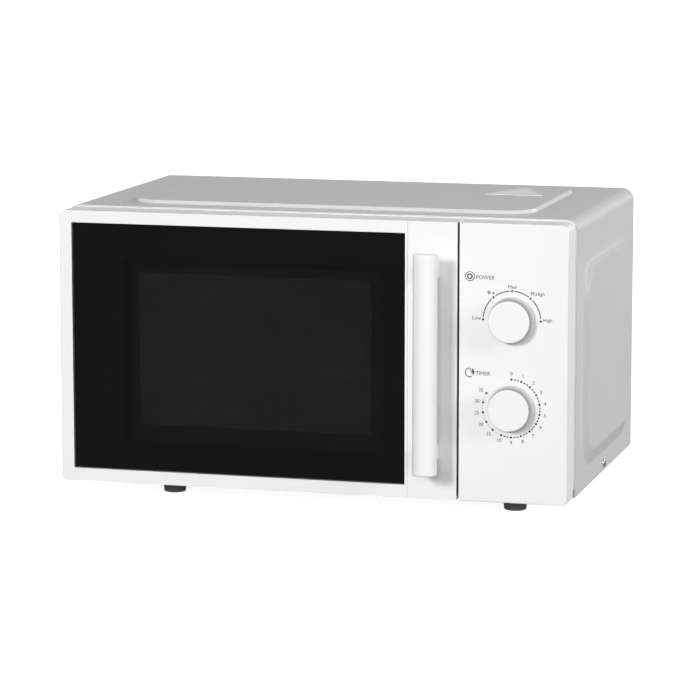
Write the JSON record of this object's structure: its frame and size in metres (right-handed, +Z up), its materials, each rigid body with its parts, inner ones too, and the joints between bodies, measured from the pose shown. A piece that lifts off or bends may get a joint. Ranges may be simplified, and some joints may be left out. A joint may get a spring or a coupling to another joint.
{
  "type": "microwave oven",
  "caption": "Table-top microwave oven with a glass-fronted swing door, vertical bar handle, power and timer dials, and a turning glass tray.",
  "frame": {"origin": "on the supporting surface under the feet, midway across and midway from the handle's front to the rear bulge", "axes": "+X to the right seen from the front, +Y from the door to the back, +Z up"},
  "size_m": [0.452, 0.337, 0.2518],
  "materials": {
    "cover_paint": "satin white powder coat",
    "galvanised_sheet": "zinc-coated sheet",
    "cavity_enamel": "grey enamel",
    "front_enamel": "white enamel",
    "white_moulding": "smooth white",
    "window_glass": "black printed border, polished",
    "screen_steel": "black enamel, perforated",
    "film": "smoked film",
    "choke_plastic": "fine grain",
    "foot_rubber": "moulded",
    "black_nylon": "moulded",
    "white_nylon": "moulded",
    "red_nylon": "moulded",
    "zinc_steel": "bright zinc",
    "bell_metal": "polished",
    "label_film": "blank satin label",
    "mica": "pressed mica sheet",
    "lamp_glass": "clear",
    "tray_glass": "clear toughened",
    "aluminium_fins": "stamped",
    "copper_antenna": "machined",
    "lamination_steel": "varnished laminations",
    "enamelled_copper": "enamelled wire",
    "black_epoxy": "cast",
    "circuit_board": "lacquered"
  },
  "bodies": {
    "cabinet": {"outer_cover": "cover_paint", "back_panel": "galvanised_sheet", "base_plate": "galvanised_sheet", "feet": "foot_rubber", "cover_screws": "zinc_steel", "caution_label": "label_film", "cord_gland": "black_nylon", "front_plate": "front_enamel", "cavity": "cavity_enamel", "waveguide": "galvanised_sheet", "waveguide_cover": "mica", "oven_lamp": "lamp_glass", "lamp_holder": "white_nylon", "hinge_upper": "galvanised_sheet", "hinge_lower": "galvanised_sheet", "latch_board": "white_nylon", "microswitches": "black_nylon", "control_panel": "white_moulding", "timer_case": "galvanised_sheet", "timer_motor": "zinc_steel", "timer_bell": "bell_metal", "turntable_motor": "zinc_steel", "magnetron_yoke": "galvanised_sheet", "magnetron_fins": "aluminium_fins", "magnetron_antenna": "copper_antenna", "magnetron_filter_box": "galvanised_sheet", "transformer_core": "lamination_steel", "transformer_windings": "enamelled_copper", "capacitor": "aluminium_fins", "capacitor_clamp": "galvanised_sheet", "hv_diode": "black_epoxy", "fan_shroud": "white_nylon", "fan_motor": "lamination_steel", "air_duct": "white_nylon", "thermal_cutouts": "black_nylon", "line_filter_board": "circuit_board"},
    "door": {"door_frame": "white_moulding", "door_glass": "window_glass", "door_handle_panel": "white_moulding", "door_handle": "white_moulding", "handle_screws": "zinc_steel", "door_screen": "screen_steel", "choke_cover": "choke_plastic", "inner_film": "film", "latch_spring": "zinc_steel"},
    "latch": {"door_latch": "white_nylon"},
    "upper_plunger": {"plunger_upper": "red_nylon"},
    "lower_plunger": {"plunger_lower": "red_nylon"},
    "power_dial": {"power_knob": "white_moulding", "power_shaft": "zinc_steel"},
    "timer_dial": {"timer_knob": "white_moulding", "timer_shaft": "zinc_steel"},
    "hammer": {"bell_hammer": "zinc_steel"},
    "coupler": {"turntable_coupler": "white_nylon"},
    "tray": {"glass_tray": "tray_glass"},
    "ring": {"roller_ring": "white_nylon"},
    "roller_a": {"roller_1": "white_nylon"},
    "roller_b": {"roller_2": "white_nylon"},
    "roller_c": {"roller_3": "white_nylon"},
    "fan": {"fan_blade": "white_nylon"}
  },
  "joints": [
    {"name": "door_hinge", "type": "hinge", "parent": "cabinet", "child": "door", "pos_m": [-0.21485, -0.1105, 0.131], "axis": [0, 0, -1], "range_deg": [0, 105]},
    {"name": "latch_lift", "type": "slide", "parent": "door", "child": "latch", "axis": [0, 0, 1], "range_m": [0, 0.005], "stiffness_N_per_m": 300, "springref_m": -0.003, "deforming": ["latch_spring"]},
    {"name": "plunger_upper_press", "type": "slide", "parent": "cabinet", "child": "upper_plunger", "axis": [0, 1, 0], "range_m": [0, 0.001], "stiffness_N_per_m": 300, "springref_m": -0.001},
    {"name": "plunger_lower_press", "type": "slide", "parent": "cabinet", "child": "lower_plunger", "axis": [0, 1, 0], "range_m": [0, 0.001], "stiffness_N_per_m": 300, "springref_m": -0.001},
    {"name": "power_turn", "type": "hinge", "parent": "cabinet", "child": "power_dial", "pos_m": [0.1728, -0.1315, 0.1677], "axis": [0, 1, 0], "range_deg": [-90, 90]},
    {"name": "timer_turn", "type": "hinge", "parent": "cabinet", "child": "timer_dial", "pos_m": [0.1728, -0.1315, 0.0944], "axis": [0, 1, 0], "range_deg": [0, 300]},
    {"name": "hammer_swing", "type": "hinge", "parent": "cabinet", "child": "hammer", "pos_m": [0.1911, -0.106, 0.0635], "axis": [0, 1, 0], "range_deg": [-12, 0], "stiffness_Nm_per_rad": 0.02, "springref_deg": 2.86},
    {"name": "turntable_spin", "type": "hinge", "parent": "cabinet", "child": "coupler", "pos_m": [-0.051, 0.0295, 0.037], "axis": [0, 0, 1], "continuous": true},
    {"name": "tray_lift", "type": "slide", "parent": "coupler", "child": "tray", "axis": [0, 0, 1], "range_m": [0, 0.03]},
    {"name": "ring_spin", "type": "hinge", "parent": "cabinet", "child": "ring", "pos_m": [-0.051, 0.0295, 0.0453], "axis": [0, 0, 1], "continuous": true},
    {"name": "roller_a_spin", "type": "hinge", "parent": "ring", "child": "roller_a", "pos_m": [0.041, 0.0295, 0.0453], "axis": [1, 0, 0], "continuous": true},
    {"name": "roller_b_spin", "type": "hinge", "parent": "ring", "child": "roller_b", "pos_m": [-0.097, 0.10917, 0.0453], "axis": [-0.5, 0.866, 0], "continuous": true},
    {"name": "roller_c_spin", "type": "hinge", "parent": "ring", "child": "roller_c", "pos_m": [-0.097, -0.05017, 0.0453], "axis": [-0.5, -0.866, 0], "continuous": true},
    {"name": "fan_spin", "type": "hinge", "parent": "cabinet", "child": "fan", "pos_m": [0.163, 0.1315, 0.168], "axis": [0, 1, 0], "continuous": true}
  ],
  "couplings": [
    {"joint": "ring_spin", "follows": "turntable_spin", "ratio": 0.5},
    {"joint": "roller_a_spin", "follows": "turntable_spin", "ratio": -5.75},
    {"joint": "roller_b_spin", "follows": "turntable_spin", "ratio": -5.75},
    {"joint": "roller_c_spin", "follows": "turntable_spin", "ratio": -5.75}
  ]
}
